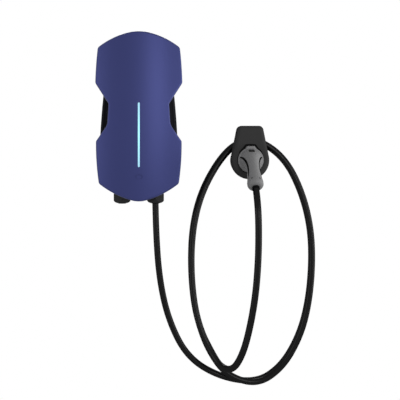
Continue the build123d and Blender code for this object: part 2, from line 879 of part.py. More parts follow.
glands = (("supply", -gland_x, supply_bore_radius), ("lead", gland_x, lead_radius + round_gap))
for gland_name, x, seal_bore in glands:
    with BuildPart() as gland_body:
        with BuildSketch(at_height(flange_low_z, x, gland_depth)):
            RegularPolygon(gland_flats / 2, 6, major_radius=False, rotation=30)
        extrude(amount=gland_flange)
        with BuildSketch(at_height(flange_top_z, x, gland_depth)):
            Circle(thread_radius)
        extrude(amount=gland_rise)
        with BuildSketch(at_height(flange_low_z, x, gland_depth)):
            Circle(basket_radius)
        extrude(amount=-basket_length)
        with BuildSketch(at_height(basket_low_z, x, gland_depth)):
            Circle(gland_bore_radius)
        extrude(amount=basket_length + gland_flange + gland_rise, mode=Mode.SUBTRACT)
    save(gland_body.part, f"{gland_name}_gland_body")

    with BuildPart() as gland_seal:
        with BuildSketch(at_height(seal_low_z, x, gland_depth)):
            Circle(gland_bore_radius - round_gap)
            Circle(seal_bore, mode=Mode.SUBTRACT)
        extrude(amount=seal_length)
    save(gland_seal.part, f"{gland_name}_gland_seal")

    with BuildPart() as gland_nut:
        with BuildSketch(at_height(nut_low_z, x, gland_depth)):
            RegularPolygon(nut_flats / 2, 6, major_radius=False, rotation=30)
        extrude(amount=nut_height)
        add(nut_dome(x), mode=Mode.INTERSECT)
        with BuildSketch(at_height(nut_low_z, x, gland_depth)):
            Circle(nut_mouth_radius)
        extrude(amount=nut_height, mode=Mode.SUBTRACT)
        with BuildSketch(at_height(basket_low_z - nut_wall, x, gland_depth)):
            Circle(basket_radius + slip_gap)
        extrude(amount=nut_height, mode=Mode.SUBTRACT)
    save(gland_nut.part, f"{gland_name}_gland_nut")

with BuildPart() as gland_locknuts:
    with BuildSketch(at_height(gland_plate_z + gland_plate_wall, depth=gland_depth)):
        with Locations((-gland_x, 0), (gland_x, 0)):
            RegularPolygon(locknut_flats / 2, 6, major_radius=False, rotation=30)
            Circle(thread_radius + round_gap, mode=Mode.SUBTRACT)
    extrude(amount=locknut_height)
save(gland_locknuts.part, "gland_locknuts")

with BuildPart() as gland_washers:
    with BuildSketch(at_height(flange_top_z, depth=gland_depth)):
        with Locations((-gland_x, 0), (gland_x, 0)):
            Circle(washer_radius)
            Circle(thread_radius + round_gap, mode=Mode.SUBTRACT)
    extrude(amount=washer_thickness)
save(gland_washers.part, "gland_washers")

# Lead tail: the lead's end held in the gland, and its cores up to the terminals
with BuildPart() as lead_tail:
    with BuildSketch(at_height(nut_low_z, gland_x, gland_depth)):
        Circle(lead_radius)
    extrude(amount=tail_top_z - nut_low_z)
save(lead_tail.part, "lead_tail")

core_starts = [(x, depth) for x in (-core_offset, core_offset) for depth in (core_offset, -core_offset)]
with BuildPart() as lead_cores:
    for (start_x, start_depth), pole_x in zip(core_starts, lead_poles):
        with BuildLine() as core_path:
            FilletPolyline(
                (gland_x + start_x, -gland_depth - start_depth, tail_top_z),
                (gland_x + start_x, -gland_depth - start_depth, core_fan_z),
                (pole_x, -wire_depth, terminal_low_z - core_gather_drop),
                (pole_x, -wire_depth, terminal_low_z + core_in_terminal),
                radius=core_bend_radius,
            )
        with BuildSketch(at_height(tail_top_z, gland_x + start_x, gland_depth + start_depth)):
            Circle(core_radius)
        sweep(path=core_path.wire())
save(lead_cores.part, "lead_cores")

# Holster: drop-shaped face with a skirt, socket tube that the loop hangs on, floor with two wall holes
with BuildSketch() as drop:
    Circle(face_radius)
    with Locations(
        (tab_corner_radius - tab_half_width, tab_height - tab_corner_radius),
        (tab_half_width - tab_corner_radius, tab_height - tab_corner_radius),
    ):
        Circle(tab_corner_radius)
    make_hull()


def keyhole(grow):
    """Round recess with a keystone on top, the keystone's sides and top moved out by grow."""
    with BuildSketch() as outline:
        Circle(recess_radius)
        Polygon(
            (-key_low_half - grow, key_low),
            (key_low_half + grow, key_low),
            (key_top_half + grow, key_top + grow),
            (-key_top_half - grow, key_top + grow),
            align=None,
        )
    return outline.sketch


face_depth = seat_depth + recess_sink
skirt_depth = face_depth - face_skirt
with BuildPart() as holster:
    with BuildSketch(at_depth(skirt_depth, holster_x, holster_z)):
        add(drop.sketch)
    extrude(amount=face_skirt)
    fillet(holster.faces().sort_by(Axis.Y)[0].edges(), face_edge_radius)
    with BuildSketch(at_depth(skirt_depth, holster_x, holster_z)):
        add(drop.sketch)
        offset(amount=-skirt_wall)
        with Locations((-rib_x, (tab_height + rib_bottom) / 2), (rib_x, (tab_height + rib_bottom) / 2)):
            Rectangle(rib_width, tab_height - rib_bottom, mode=Mode.SUBTRACT)
    extrude(amount=face_skirt - face_thickness, mode=Mode.SUBTRACT)
    with BuildSketch(at_depth(0, holster_x, holster_z)):
        Circle(tube_radius)
    extrude(amount=face_depth - face_thickness)
    with BuildSketch(at_depth(tube_floor, holster_x, holster_z)):
        Circle(socket_radius)
    extrude(amount=face_depth, mode=Mode.SUBTRACT)
    with BuildSketch(at_depth(seat_depth, holster_x, holster_z)):
        add(keyhole(key_shadow_gap))
        Polygon(
            (-shoulder_low_half, shoulder_low),
            (shoulder_low_half, shoulder_low),
            (shoulder_top_half, shoulder_top),
            (-shoulder_top_half, shoulder_top),
            align=None,
        )
    extrude(amount=face_depth, mode=Mode.SUBTRACT)
    with BuildSketch(at_depth(0, holster_x, holster_z)):
        with GridLocations(holster_hole_spacing, holster_hole_spacing, 1, 2):
            Circle(holster_hole_radius)
    extrude(amount=tube_floor, mode=Mode.SUBTRACT)
save(holster.part, "holster")

# Plug nose: insulating block with its contact chambers, in the socket
collar_back_depth = seat_depth + collar_gap
collar_front_depth = collar_back_depth + collar_thickness
neck_depth = [collar_front_depth + reach for reach in neck_reach]
power_spots = [(-contact_row, 0), (0, 0), (contact_row, 0)]
pilot_spots = [(-pilot_x, pilot_z), (pilot_x, pilot_z)]
with BuildPart() as plug_nose:
    with BuildSketch(at_depth(nose_back_depth, holster_x, holster_z)):
        Circle(nose_radius)
        with Locations((0, nose_radius + nose_flat)):
            Rectangle(2 * nose_radius, 2 * nose_radius, mode=Mode.SUBTRACT)
        with Locations(*power_spots):
            Circle(power_contact_radius + round_gap, mode=Mode.SUBTRACT)
        with Locations(*pilot_spots):
            Circle(pilot_contact_radius + round_gap, mode=Mode.SUBTRACT)
    extrude(amount=collar_back_depth - nose_back_depth)
save(plug_nose.part, "plug_nose")

with BuildPart() as plug_contacts:
    with BuildSketch(at_depth(nose_back_depth + contact_recess, holster_x, holster_z)):
        with Locations(*power_spots):
            Circle(power_contact_radius)
            Circle(power_pin_radius, mode=Mode.SUBTRACT)
        with Locations(*pilot_spots):
            Circle(pilot_contact_radius)
            Circle(pilot_pin_radius, mode=Mode.SUBTRACT)
    extrude(amount=contact_length)
save(plug_contacts.part, "plug_contacts")

# Plug collar: disc with the key that fits the holster's keyhole
with BuildPart() as plug_collar:
    with BuildSketch(at_depth(collar_back_depth, holster_x, holster_z)):
        add(keyhole(0))
        offset(amount=-key_gap)
    extrude(amount=collar_front_depth - collar_back_depth)
    fillet(plug_collar.faces().sort_by(Axis.Y)[0].edges(), collar_edge_radius)
save(plug_collar.part, "plug_collar")


def handle_form(inset):
    """Handle lofted through its sections, each moved in by inset."""
    with BuildPart() as form:
        sections = zip(neck_depth, neck_drop, neck_tilt, neck_width, neck_height)
        for depth, drop_z, tilt, width, height in sections:
            section = Plane(
                origin=(holster_x, -depth, holster_z - drop_z),
                x_dir=(1, 0, 0),
                z_dir=(0, -cos(radians(tilt)), -sin(radians(tilt))),
            )
            with BuildSketch(section):
                Ellipse(width / 2 - inset, height / 2 - inset)
        loft()
    return form.part


def handle_side(upper, rises, gap):
    """Block above or below a joint that rises over the middles of the sections, held off it by gap."""
    shift = gap if upper else -gap
    middles = zip(neck_depth, neck_drop, rises)
    split = [(-depth, holster_z - drop_z + rise + shift) for depth, drop_z, rise in middles]
    reach = max(neck_height) * 2
    end = (split[-1][0] - reach, split[-1][1] - reach)
    level = holster_z + reach if upper else end[1] - reach
    with BuildPart() as block:
        with BuildSketch(Plane.YZ.offset(holster_x - reach)):
            with BuildLine():
                Spline(*split)
                Polyline(
                    split[-1],
                    end,
                    (end[0], level),
                    (split[0][0] + collar_gap, level),
                    (split[0][0] + collar_gap, split[0][1]),
                    split[0],
                )
            make_face()
        extrude(amount=2 * reach)
    return block.part


# Plug handle: domed hood with a lock window, a lower shell, and the rubber seal along their joint
with BuildPart() as plug_upper_shell:
    add(handle_form(0))
    add(handle_form(handle_wall), mode=Mode.SUBTRACT)
    add(handle_side(True, split_rise, 0), mode=Mode.INTERSECT)
    with BuildSketch(at_depth(collar_front_depth, holster_x, holster_z + window_rise)):
        RectangleRounded(window_width, window_height, window_corner_radius)
    extrude(amount=window_cut, mode=Mode.SUBTRACT)
save(plug_upper_shell.part, "plug_upper_shell")

with BuildPart() as plug_lower_shell:
    add(handle_form(0))
    add(handle_form(handle_wall), mode=Mode.SUBTRACT)
    add(handle_side(False, seal_rise, 0), mode=Mode.INTERSECT)
save(plug_lower_shell.part, "plug_lower_shell")

with BuildPart() as plug_seal:
    add(handle_form(seal_set_back))
    add(handle_form(handle_wall), mode=Mode.SUBTRACT)
    add(handle_side(False, split_rise, split_gap), mode=Mode.INTERSECT)
    add(handle_side(True, seal_rise, split_gap), mode=Mode.INTERSECT)
save(plug_seal.part, "plug_seal")

# Plug end cap: rounded cup with tool slots at its joint, and the grommet that the lead enters
tilt_end = radians(neck_tilt[-1])
cap_axis = Vector(0, -cos(tilt_end), -sin(tilt_end))
cap_start = Vector(holster_x, -neck_depth[-1], holster_z - neck_drop[-1]) + cap_axis * cap_joint_gap
cap_end = cap_start + cap_axis * cap_length
grommet_end = cap_end + cap_axis * grommet_length
cap_plane = Plane(origin=cap_start, x_dir=(1, 0, 0), z_dir=cap_axis)
grommet_plane = Plane(origin=cap_end - cap_axis * grommet_inside, x_dir=(1, 0, 0), z_dir=cap_axis)
with BuildPart() as plug_end_cap:
    with BuildSketch(cap_plane):
        Circle(cap_radius)
    extrude(amount=cap_length)
    fillet(plug_end_cap.edges().filter_by(GeomType.CIRCLE).sort_by(Axis.Z)[0], cap_round)
    with BuildSketch(cap_plane):
        with PolarLocations(cap_radius, cap_slot_count):
            Rectangle(2 * cap_slot_sink, cap_slot_width)
    extrude(amount=cap_slot_length, mode=Mode.SUBTRACT)
    with BuildSketch(grommet_plane):
        Circle(grommet_radius + round_gap)
    extrude(amount=grommet_inside, mode=Mode.SUBTRACT)
save(plug_end_cap.part, "plug_end_cap")

with BuildPart() as plug_grommet:
    with BuildSketch(grommet_plane):
        Circle(grommet_radius)
    extrude(amount=grommet_inside + grommet_length)
save(plug_grommet.part, "plug_grommet")

# Charging lead: straight runs and tangent arcs, hung in two turns over the holster's tube
route = [Vector(gland_x, -gland_depth, nut_low_z)]
route += [Vector(x, -depth, z) for x, depth, z in drop_run + first_turn + second_turn + plug_run]
route += [grommet_end + cap_axis * lead_exit_run, grommet_end]
runs = [b - a for a, b in zip(route, route[1:])]
bends = []
for before, after in zip(runs, runs[1:]):
    half_turn = radians(before.get_angle(after)) / 2
    bends.append(bend_share * min(before.length, after.length) / tan(half_turn))
print("bend radii", [round(radius, 1) for radius in bends])
with BuildPart() as charging_lead:
    with BuildLine() as lead_path:
        FilletPolyline(*route, radius=bends)
    with BuildSketch(at_height(nut_low_z, gland_x, gland_depth)):
        Circle(lead_radius)
    sweep(path=lead_path.wire())
lead_length = lead_path.wire().length
print("lead length", round(lead_length, 1))
print("lead volume", round(charging_lead.part.volume), "of", round(pi * lead_radius**2 * lead_length))
save(charging_lead.part, "charging_lead")
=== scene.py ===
import bmesh
import bpy
import numpy as np
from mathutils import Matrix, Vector


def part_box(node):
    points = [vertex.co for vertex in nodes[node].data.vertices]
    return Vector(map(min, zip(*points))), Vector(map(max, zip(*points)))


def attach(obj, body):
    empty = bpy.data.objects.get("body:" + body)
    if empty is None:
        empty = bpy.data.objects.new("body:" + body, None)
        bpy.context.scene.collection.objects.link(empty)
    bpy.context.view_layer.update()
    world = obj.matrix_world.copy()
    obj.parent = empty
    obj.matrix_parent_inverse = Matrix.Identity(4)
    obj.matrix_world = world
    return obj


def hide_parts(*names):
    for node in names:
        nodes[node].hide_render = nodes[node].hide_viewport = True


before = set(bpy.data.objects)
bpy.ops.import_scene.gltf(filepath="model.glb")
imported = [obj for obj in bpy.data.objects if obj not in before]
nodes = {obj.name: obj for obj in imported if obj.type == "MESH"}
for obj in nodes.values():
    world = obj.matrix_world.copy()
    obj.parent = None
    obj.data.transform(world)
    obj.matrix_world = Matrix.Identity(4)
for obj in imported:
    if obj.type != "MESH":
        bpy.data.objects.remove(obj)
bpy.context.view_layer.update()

# Rear housing and inner lid
# Black glass-filled nylon, injection moulded in a sparked tool that leaves a fine matt grain.
# The tub hangs on the wall plate; the lid closes it on a rubber seal.
grain_detail = 3.0
mottle_scale = 23.0
mottle_detail = 4.0
film_index = 3.0


def grain_group():
    """Moulded grain: fine noise as a height, and slow noise as a faint mottle.

    The colour and the roughness are scaled by one plus the mottle times the slow noise less a half.
    """
    group = bpy.data.node_groups.new("moulded grain", "ShaderNodeTree")
    face = group.interface
    face.new_socket("Colour", in_out="INPUT", socket_type="NodeSocketColor")
    face.new_socket("Grain Scale", in_out="INPUT", socket_type="NodeSocketFloat")
    face.new_socket("Mottle", in_out="INPUT", socket_type="NodeSocketFloat")
    face.new_socket("Gloss", in_out="INPUT", socket_type="NodeSocketFloat")
    face.new_socket("Colour", in_out="OUTPUT", socket_type="NodeSocketColor")
    face.new_socket("Roughness", in_out="OUTPUT", socket_type="NodeSocketFloat")
    face.new_socket("Height", in_out="OUTPUT", socket_type="NodeSocketFloat")
    tree, link = group.nodes, group.links.new
    given = tree.new("NodeGroupInput")
    result = tree.new("NodeGroupOutput")
    place = tree.new("ShaderNodeTexCoord")
    fine = tree.new("ShaderNodeTexNoise")
    fine.inputs["Detail"].default_value = grain_detail
    link(place.outputs["Object"], fine.inputs["Vector"])
    link(given.outputs["Grain Scale"], fine.inputs["Scale"])
    link(fine.outputs["Fac"], result.inputs["Height"])
    slow = tree.new("ShaderNodeTexNoise")
    slow.inputs["Scale"].default_value = mottle_scale
    slow.inputs["Detail"].default_value = mottle_detail
    link(place.outputs["Object"], slow.inputs["Vector"])
    centred = tree.new("ShaderNodeMath")
    centred.operation = "SUBTRACT"
    centred.inputs[1].default_value = 0.5
    link(slow.outputs["Fac"], centred.inputs[0])
    swing = tree.new("ShaderNodeMath")
    swing.operation = "MULTIPLY"
    link(centred.outputs["Value"], swing.inputs[0])
    link(given.outputs["Mottle"], swing.inputs[1])
    level = tree.new("ShaderNodeMath")
    level.operation = "ADD"
    level.inputs[1].default_value = 1.0
    link(swing.outputs["Value"], level.inputs[0])
    tint = tree.new("ShaderNodeVectorMath")
    tint.operation = "SCALE"
    link(given.outputs["Colour"], tint.inputs[0])
    link(level.outputs["Value"], tint.inputs["Scale"])
    link(tint.outputs["Vector"], result.inputs["Colour"])
    rough = tree.new("ShaderNodeMath")
    rough.operation = "MULTIPLY"
    link(given.outputs["Gloss"], rough.inputs[0])
    link(level.outputs["Value"], rough.inputs[1])
    link(rough.outputs["Value"], result.inputs["Roughness"])
    return group


moulded_grain = grain_group()


def moulded(
    name, colour, roughness, grain_scale, grain_depth, mottle=0.12, metallic=0.0, shine=0.3, film=0.0
):
    """Principled material whose colour, roughness and bump come from the moulded grain group.

    Shine is the body's own reflection. Film is the weight of a dense skin that reflects nearly as much
    straight on as at a slant, so that a black moulding shows a soft streak of light and keeps dark edges.
    """
    material = bpy.data.materials.new(name)
    material.use_nodes = True
    tree, link = material.node_tree.nodes, material.node_tree.links.new
    shader = tree["Principled BSDF"]
    shader.inputs["Metallic"].default_value = metallic
    shader.inputs["Specular IOR Level"].default_value = shine
    shader.inputs["Coat Weight"].default_value = film
    shader.inputs["Coat IOR"].default_value = film_index
    shader.inputs["Coat Roughness"].default_value = roughness
    grain = tree.new("ShaderNodeGroup")
    grain.node_tree = moulded_grain
    grain.inputs["Colour"].default_value = (*colour, 1.0)
    grain.inputs["Grain Scale"].default_value = grain_scale
    grain.inputs["Mottle"].default_value = mottle
    grain.inputs["Gloss"].default_value = roughness
    bump = tree.new("ShaderNodeBump")
    bump.inputs["Distance"].default_value = grain_depth
    link(grain.outputs["Height"], bump.inputs["Height"])
    link(grain.outputs["Colour"], shader.inputs["Base Color"])
    link(grain.outputs["Roughness"], shader.inputs["Roughness"])
    link(bump.outputs["Normal"], shader.inputs["Normal"])
    return material


def finish_nodes(material, *names):
    """Give CAD nodes one material."""
    for name in names:
        nodes[name].data.materials.clear()
        nodes[name].data.materials.append(material)


housing_black = moulded(
    "housing black", (0.0125, 0.0125, 0.0145), roughness=0.5, grain_scale=1400.0, grain_depth=0.00006,
    shine=0.0, film=0.010,
)
finish_nodes(housing_black, "rear_housing", "inner_lid")

# Wall plate, screws and ball studs
# Zinc-plated steel: the plate is folded sheet, the fasteners are headed and turned.
# The plate is fixed to the wall, and the studs on the lid carry the front cover.
zinc = moulded(
    "zinc plate", (0.52, 0.53, 0.55), roughness=0.34, grain_scale=900.0, grain_depth=0.00003,
    mottle=0.2, metallic=1.0,
)
finish_nodes(
    zinc, "wall_plate", "housing_screws", "lid_screws", "cover_studs", "carrier_screws", "board_screws"
)

# Seals
# Black moulded rubber: the lid's ring, the glands' washers and the glands' inserts.
# Each is squeezed between the pieces that it closes.
seal_rubber = moulded(
    "seal rubber", (0.005, 0.005, 0.005), roughness=0.62, grain_scale=700.0, grain_depth=0.00008,
    shine=0.0, film=0.008,
)
finish_nodes(seal_rubber, "lid_seal", "gland_washers", "supply_gland_seal", "lead_gland_seal")

# Electronics
# A coated board with moulded component cases, plain cans and brass clamp screws, all closed in the tub.
# The lead's cores have brown insulation and end in the terminals.
board_green = moulded(
    "board coating", (0.02, 0.13, 0.06), roughness=0.3, grain_scale=300.0, grain_depth=0.00002, mottle=0.3
)
finish_nodes(board_green, "main_board")
case_black = moulded(
    "component case", (0.02, 0.02, 0.022), roughness=0.5, grain_scale=1200.0, grain_depth=0.00004
)
finish_nodes(case_black, "power_relays", "residual_current_sensor", "supply_transformer", "control_chip")
can_metal = moulded(
    "component can", (0.62, 0.62, 0.63), roughness=0.3, grain_scale=500.0, grain_depth=0.00002,
    mottle=0.1, metallic=1.0,
)
finish_nodes(can_metal, "bulk_capacitors", "radio_module")
terminal_grey = moulded(
    "terminal body", (0.24, 0.25, 0.26), roughness=0.5, grain_scale=900.0, grain_depth=0.00004
)
finish_nodes(terminal_grey, "supply_terminals", "lead_terminals")
clamp_brass = moulded(
    "clamp brass", (0.6, 0.42, 0.16), roughness=0.32, grain_scale=700.0, grain_depth=0.00002,
    mottle=0.2, metallic=1.0,
)
finish_nodes(clamp_brass, "terminal_screws")
core_brown = moulded(
    "core insulation", (0.12, 0.05, 0.03), roughness=0.45, grain_scale=900.0, grain_depth=0.00003
)
finish_nodes(core_brown, "lead_cores")

# Front cover
# One crowned shell, moulded and painted in a satin blue-violet with a faint metallic glint.
# It pushes on to the ball studs.
cover_blue = moulded(
    "cover paint", (0.0380, 0.0452, 0.149), roughness=0.42, grain_scale=1100.0, grain_depth=0.00003,
    mottle=0.04, metallic=0.4, shine=0.1,
)
finish_nodes(cover_blue, "front_cover")

# Light bar
# Frosted diffuser in the cover's slot, lit from behind by a row of lamps on the light board.
# A white moulded carrier, screwed to the inside of the cover, holds that board.
white_moulding = moulded(
    "white moulding", (0.7, 0.7, 0.68), roughness=0.45, grain_scale=900.0, grain_depth=0.00003
)
finish_nodes(white_moulding, "light_carrier", "light_leds")
finish_nodes(board_green, "light_board")
bar_low, bar_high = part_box("light_bar")
diffuser_colour = (0.25, 0.55, 0.62, 1.0)
diffuser_roughness = 0.35
glow_end_colour = (0.26, 0.40, 0.58, 1.0)
glow_middle_colour = (0.36, 0.86, 1.0, 1.0)
glow_strength = 0.75
glow_end_share = 0.04


def glow_material():
    """Diffuser that glows pale cyan, a little weaker and bluer towards both ends of the bar."""
    material = bpy.data.materials.new("light diffuser")
    material.use_nodes = True
    tree, link = material.node_tree.nodes, material.node_tree.links.new
    shader = tree["Principled BSDF"]
    shader.inputs["Base Color"].default_value = diffuser_colour
    shader.inputs["Roughness"].default_value = diffuser_roughness
    shader.inputs["Emission Strength"].default_value = glow_strength
    place = tree.new("ShaderNodeTexCoord")
    split = tree.new("ShaderNodeSeparateXYZ")
    link(place.outputs["Object"], split.inputs["Vector"])
    along = tree.new("ShaderNodeMapRange")
    along.inputs["From Min"].default_value = bar_low.z
    along.inputs["From Max"].default_value = bar_high.z
    link(split.outputs["Z"], along.inputs["Value"])
    ramp = tree.new("ShaderNodeValToRGB")
    stops = ramp.color_ramp.elements
    stops[0].position = glow_end_share
    stops[0].color = glow_end_colour
    stops[1].position = 1.0 - glow_end_share
    stops[1].color = glow_end_colour
    middle = stops.new(0.5)
    middle.color = glow_middle_colour
    link(along.outputs["Result"], ramp.inputs["Fac"])
    link(ramp.outputs["Color"], shader.inputs["Emission Color"])
    return material


finish_nodes(glow_material(), "light_bar")

# Cable glands
# Black nylon: body, locknut and domed hexagon nut, moulded with a shallower grain than the housing.
# The rounded lip of a rubber insert closes each nut's mouth.
gland_black = moulded(
    "gland black", (0.010, 0.010, 0.0105), roughness=0.7, grain_scale=1500.0, grain_depth=0.00003,
    shine=0.0, film=0.08,
)
finish_nodes(
    gland_black,
    "supply_gland_body",
    "supply_gland_nut",
    "lead_gland_body",
    "lead_gland_nut",
    "gland_locknuts",
)
gland_x = 0.034
gland_y = -0.034
nut_mouth_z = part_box("lead_gland_nut")[0].z
gland_lip_inset = 0.0006
gland_lip_radius = 0.00725
gland_lip_half_width = 0.0007
gland_lip_half_height = 0.0015
ring_steps = 64
ring_profile_steps = 20


def ring_skin(name, rings, material, joined):
    """Skin over a grid whose rows are closed rings of points, as a piece of the part.

    Each ring is joined to the next by four-sided faces all the way round. The last ring joins the first
    where joined is true, and otherwise a flat face closes each end.
    """
    number = np.arange(rings.shape[0] * rings.shape[1]).reshape(rings.shape[:2])
    near = number if joined else number[:-1]
    far = np.roll(number, -1, axis=0) if joined else number[1:]
    corners = np.stack([near, far, np.roll(far, -1, axis=1), np.roll(near, -1, axis=1)], axis=-1)
    faces = corners.reshape(-1, 4).tolist()
    if not joined:
        faces += [number[0].tolist(), number[-1][::-1].tolist()]
    mesh = bpy.data.meshes.new(name)
    mesh.from_pydata(rings.reshape(-1, 3).tolist(), [], faces)
    mesh.shade_smooth()
    mesh.materials.append(material)
    piece = bpy.data.objects.new(name, mesh)
    bpy.context.collection.objects.link(piece)
    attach(piece, "root")
    return piece


def rubber_ring(name, centre, axis, middle_radius, half_width, half_height):
    """Rubber ring round an axis that is square to the x direction.

    An oval profile is carried round a circle: the radius is the middle radius plus the half width times the
    cosine of the profile's angle, and the height along the axis is the half height times its sine.
    """
    turn, profile = np.meshgrid(
        np.linspace(0.0, 2.0 * np.pi, ring_steps, endpoint=False),
        np.linspace(0.0, 2.0 * np.pi, ring_profile_steps, endpoint=False),
        indexing="ij",
    )
    along = np.array(axis)
    side = np.array([1.0, 0.0, 0.0])
    across = np.cross(along, side)
    radius = middle_radius + half_width * np.cos(profile)
    rings = (
        np.array(centre)
        + (radius * np.cos(turn))[..., None] * side
        + (radius * np.sin(turn))[..., None] * across
        + (half_height * np.sin(profile))[..., None] * along
    )
    return ring_skin(name, rings, seal_rubber, joined=True)


for lip_name, lip_x in (("supply_gland_lip", -gland_x), ("lead_gland_lip", gland_x)):
    rubber_ring(
        lip_name,
        (lip_x, gland_y, nut_mouth_z + gland_lip_inset),
        (0.0, 0.0, 1.0),
        gland_lip_radius,
        gland_lip_half_width,
        gland_lip_half_height,
    )

# Holster
# One dark grey moulding: drop-shaped face with a skirt, socket tube and floor, screwed to the wall.
# Its tube holds the plug and carries the turns of the lead.
holster_grey = moulded(
    "holster grey", (0.032, 0.032, 0.032), roughness=0.5, grain_scale=1300.0, grain_depth=0.00005,
    shine=0.0, film=0.015,
)
finish_nodes(holster_grey, "holster")

# Holster shadow strip
# Black rubber strip along the mouth's keystone and shoulders, where the plug's key drops in.
# It is painted shade for the shadow gap round the recess, laid on its edge a little proud of the face.
holster_x = 0.223
holster_z = -0.0884
shadow_strip_half_path = np.array(
    [
        (0.0250, 0.0130),
        (0.0202, 0.0186),
        (0.0155, 0.0228),
        (0.0125, 0.0263),
        (0.0098, 0.0308),
        (0.0040, 0.0309),
    ]
)
shadow_strip_depth = 0.0750
shadow_strip_half_width = 0.0013
shadow_strip_half_height = 0.0011
shadow_strip_end_area = 0.02
shadow_strip_end_power = 8
shadow_strip_span_steps = 10
shadow_strip_profile_steps = 16


def mouth_shadow_strip():
    """Painted shadow strip along the keystone: an oval profile carried along a smooth path in the holster's
    face.

    The path is the quadratic B-spline of the half path and its mirror image. The oval's half width lies
    across the path and its half height out of the face. Both taper towards the two ends, as the square root
    of one, plus the share of the area left at the ends, less a high power of the place along the path.
    """
    corners = np.concatenate([shadow_strip_half_path * (-1.0, 1.0), shadow_strip_half_path[::-1]])
    before, at, after = corners[:-2, None], corners[1:-1, None], corners[2:, None]
    step = np.linspace(0.0, 1.0, shadow_strip_span_steps, endpoint=False)[None, :, None]
    line = 0.5 * (1.0 - step) ** 2 * before + (0.5 + step - step**2) * at + 0.5 * step**2 * after
    line = line.reshape(-1, 2)
    heading = np.gradient(line, axis=0)
    heading /= np.linalg.norm(heading, axis=1, keepdims=True)
    along = np.linspace(-1.0, 1.0, len(line))
    taper = np.sqrt(1.0 + shadow_strip_end_area - along**shadow_strip_end_power)[:, None]
    profile = np.linspace(0.0, 2.0 * np.pi, shadow_strip_profile_steps, endpoint=False)
    across = shadow_strip_half_width * taper * np.cos(profile)
    x = holster_x + line[:, :1] - heading[:, 1:] * across
    y = -shadow_strip_depth + shadow_strip_half_height * taper * np.sin(profile)
    z = holster_z + line[:, 1:] + heading[:, :1] * across
    rings = np.stack([x, y, z], axis=-1)
    return ring_skin("holster_shadow_strip", rings, seal_rubber, joined=False)


mouth_shadow_strip()

# Plug
# Grey moulded shells, collar and end cap around a black nose with brass contacts and a rubber grommet.
# The nose is parked in the holster's tube, and the handle bends down to the lead.
plug_grey = moulded(
    "plug grey", (0.178, 0.178, 0.18), roughness=0.45, grain_scale=1200.0, grain_depth=0.00004, shine=0.15
)
finish_nodes(plug_grey, "plug_collar", "plug_upper_shell", "plug_lower_shell", "plug_end_cap")
finish_nodes(case_black, "plug_nose")
finish_nodes(clamp_brass, "plug_contacts")
finish_nodes(seal_rubber, "plug_grommet")

# Window shade pad
# Dark pad behind the window in the plug's hood, seated on the collar's front face: painted shade that
# darkens the window.
window_shade_grey = moulded(
    "window shade grey", (0.035, 0.035, 0.035), roughness=0.35, grain_scale=1200.0, grain_depth=0.00003,
    shine=0.0, film=0.06,
)
pad_rise = 0.0182
pad_z = holster_z + pad_rise
pad_half_width = 0.0057
pad_half_height = 0.0022
pad_back_depth = 0.0820
pad_front_depth = 0.0915
pad_slope = 1.88
pad_bulge = 55.0
pad_steps = 40


def window_shade_pad():
    """Painted shade pad with a slanted, domed front that follows the hood a little way below its surface.

    Its outline is a rounded oblong, whose width and height are the half sizes times the signed square roots
    of the cosine and sine of the angle. Rings of it grow over the front, whose depth falls with the height
    and with the square of the distance from the middle, round over at the edge and end at the back.
    """
    angle = np.linspace(0.0, 2.0 * np.pi, pad_steps, endpoint=False)
    # For each ring: its share of the outline, how far the edge has dropped, and whether it is at the back
    reach = np.array([0.25, 0.55, 0.8, 0.93, 1.0, 1.0])[:, None]
    drop = np.array([0.0, 0.0, 0.0001, 0.0003, 0.0008, 0.0])[:, None]
    at_back = np.array([0.0, 0.0, 0.0, 0.0, 0.0, 1.0])[:, None]
    wide = pad_half_width * reach * np.sign(np.cos(angle)) * np.sqrt(np.abs(np.cos(angle)))
    high = pad_half_height * reach * np.sign(np.sin(angle)) * np.sqrt(np.abs(np.sin(angle)))
    front = pad_front_depth - pad_slope * high - pad_bulge * wide**2 - drop
    depth = front * (1.0 - at_back) + pad_back_depth * at_back
    rings = np.stack([holster_x + wide, -depth, pad_z + high], axis=-1)
    return ring_skin("plug_window_shade_pad", rings, window_shade_grey, joined=False)


plug_pad = window_shade_pad()

# Plug seal
# Black rubber strip along the joint of hood and lower shell, swollen out of the joint so that it draws the
# shadow line under the hood's edge: painted shade.
seal_shade_swell = 0.0008
same_point = 0.000001


def swollen_seal_shade():
    """Copy of the seal's strips with their points merged and each one moved out along its normal, as painted
    shade.
    """
    shape = bmesh.new()
    shape.from_mesh(nodes["plug_seal"].data)
    bmesh.ops.remove_doubles(shape, verts=shape.verts, dist=same_point)
    mesh = bpy.data.meshes.new("plug_seal_shade_line")
    shape.to_mesh(mesh)
    shape.free()
    points = np.empty(3 * len(mesh.vertices))
    outward = np.empty(3 * len(mesh.vertices))
    mesh.vertices.foreach_get("co", points)
    mesh.vertex_normals.foreach_get("vector", outward)
    mesh.vertices.foreach_set("co", points + seal_shade_swell * outward)
    mesh.materials.clear()
    mesh.materials.append(seal_rubber)
    piece = bpy.data.objects.new("plug_seal_shade_line", mesh)
    bpy.context.collection.objects.link(piece)
    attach(piece, "root")
    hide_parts("plug_seal")
    return piece


# The swollen black copy stands for the shadow line under the hood's edge: painted shade.
plug_seal = swollen_seal_shade()

